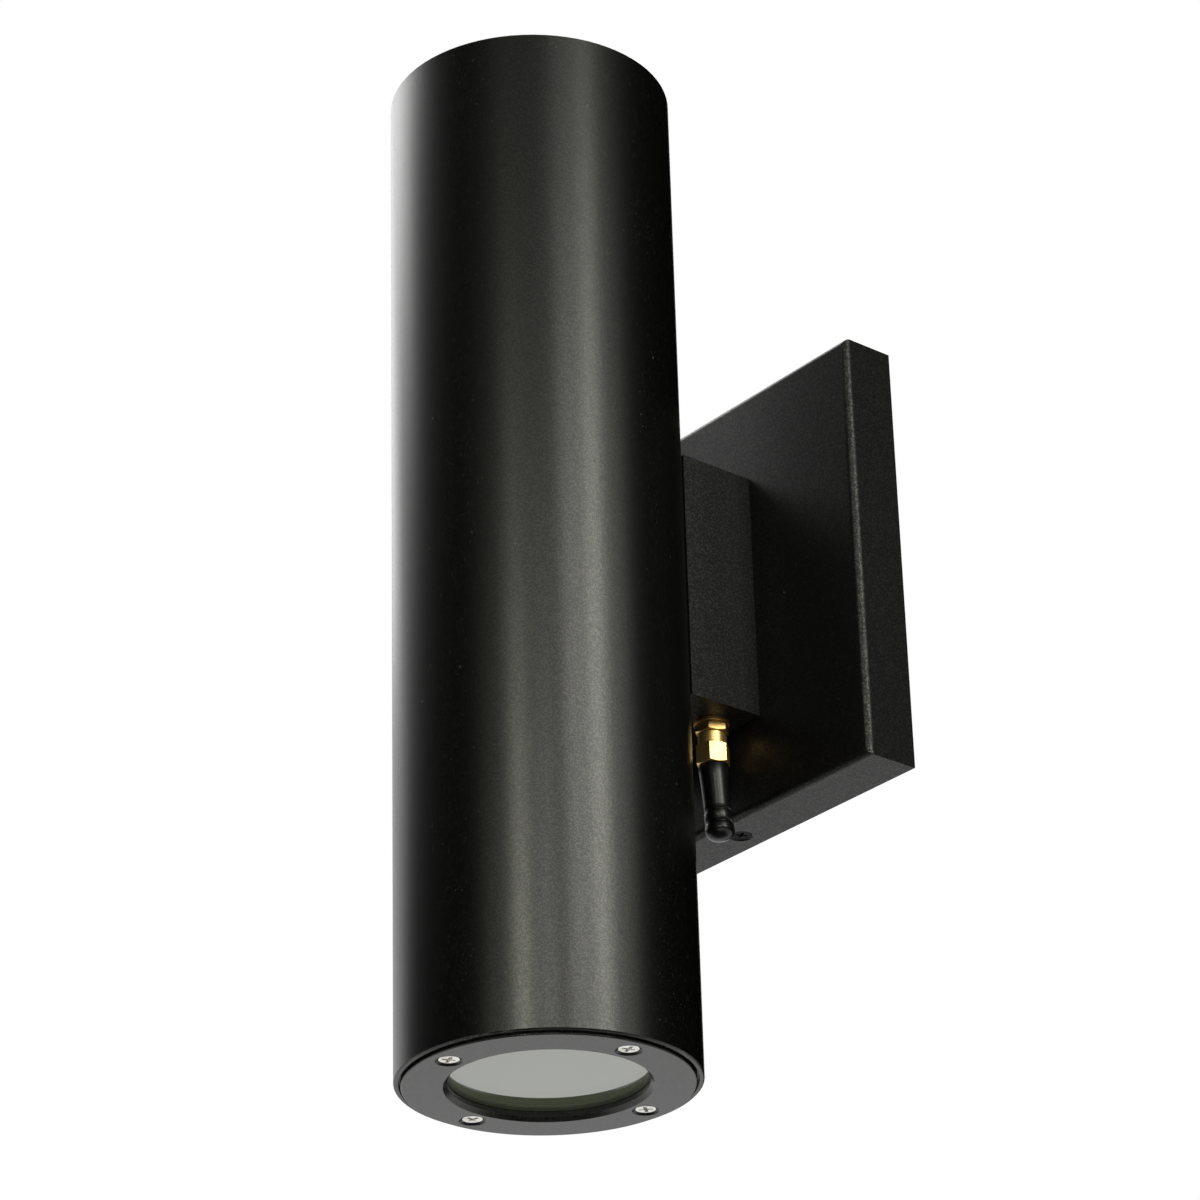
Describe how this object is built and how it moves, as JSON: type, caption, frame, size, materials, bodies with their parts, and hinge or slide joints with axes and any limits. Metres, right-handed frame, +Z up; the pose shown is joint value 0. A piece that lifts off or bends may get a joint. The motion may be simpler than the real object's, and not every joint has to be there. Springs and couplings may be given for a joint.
{
  "type": "outdoor wall sconce",
  "caption": "Black up-and-down cylinder wall light on a short box arm and square pan, with a screw-on stub antenna.",
  "frame": {"origin": "centre of the wall strap's two box-screw slots, on the wall plane", "axes": "+X right for someone facing the wall, +Y into the wall, +Z up along the tube"},
  "size_m": [0.1234, 0.1093, 0.2834],
  "materials": {
    "black_coat": "fine-textured satin powder coat",
    "ring_coat": "smooth satin dark coat",
    "zinc": "zinc-plated sheet",
    "cast_metal": "die-cast",
    "steel": "plated steel fastener",
    "black_screw": "black oxide",
    "green_zinc": "green-dyed earth screw",
    "black_plastic": "moulded nylon",
    "white_plastic": "PTFE",
    "foam": "double-sided foam",
    "seal_rubber": "silicone",
    "lens_glass": "flat tempered",
    "lamp_shell": "moulded shell",
    "ceramic": "unglazed steatite",
    "lead_silicone": "silicone-covered wire",
    "coax_jacket": "brown fluoropolymer",
    "gold_brass": "gold-plated",
    "antenna_rubber": "satin moulded"
  },
  "bodies": {
    "sconce": {"tube_housing": "black_coat", "arm_box": "black_coat", "back_plate": "black_coat", "wall_strap": "zinc", "ground_screw": "green_zinc", "plate_screws": "black_screw", "inner_saddle": "cast_metal", "lamp_frame": "zinc", "tie_bolts": "steel", "tie_washers": "steel", "tie_nuts": "steel", "tube_bushing": "black_plastic", "plate_bushing": "black_plastic", "control_module": "black_plastic", "module_pad": "foam", "lower_trim_ring": "ring_coat", "lower_ring_screws": "steel", "lower_lens_gasket": "seal_rubber", "lower_glass": "lens_glass", "lower_end_frame": "cast_metal", "lower_lamp": "lamp_shell", "lower_lampholder": "ceramic", "lower_lamp_leads": "lead_silicone", "upper_trim_ring": "ring_coat", "upper_ring_screws": "steel", "upper_lens_gasket": "seal_rubber", "upper_glass": "lens_glass", "upper_end_frame": "cast_metal", "upper_lamp": "lamp_shell", "upper_lampholder": "ceramic", "upper_lamp_leads": "lead_silicone", "lampholder_screws": "steel", "antenna_jack": "gold_brass", "jack_insulator": "white_plastic", "jack_contact": "gold_brass", "jack_seal": "seal_rubber", "coax_pigtail": "coax_jacket", "antenna_washer": "gold_brass", "antenna_nut": "gold_brass"},
    "antenna": {"antenna_ferrule": "gold_brass", "antenna_insulator": "white_plastic", "antenna_pin": "gold_brass", "antenna_rubber": "antenna_rubber"},
    "coupling_nut": {"coupling_nut": "gold_brass"}
  },
  "joints": [
    {"name": "antenna_slide", "type": "slide", "parent": "sconce", "child": "antenna", "axis": [0, 0, -1], "range_m": [0, 0.00494]},
    {"name": "coupling_turn", "type": "hinge", "parent": "antenna", "child": "coupling_nut", "pos_m": [0.011, -0.0232, -0.045], "axis": [0, 0, -1], "range_deg": [0, 2520]}
  ],
  "couplings": [
    {"joint": "coupling_turn", "follows": "antenna_slide", "rad_per_m": 8905.3}
  ]
}
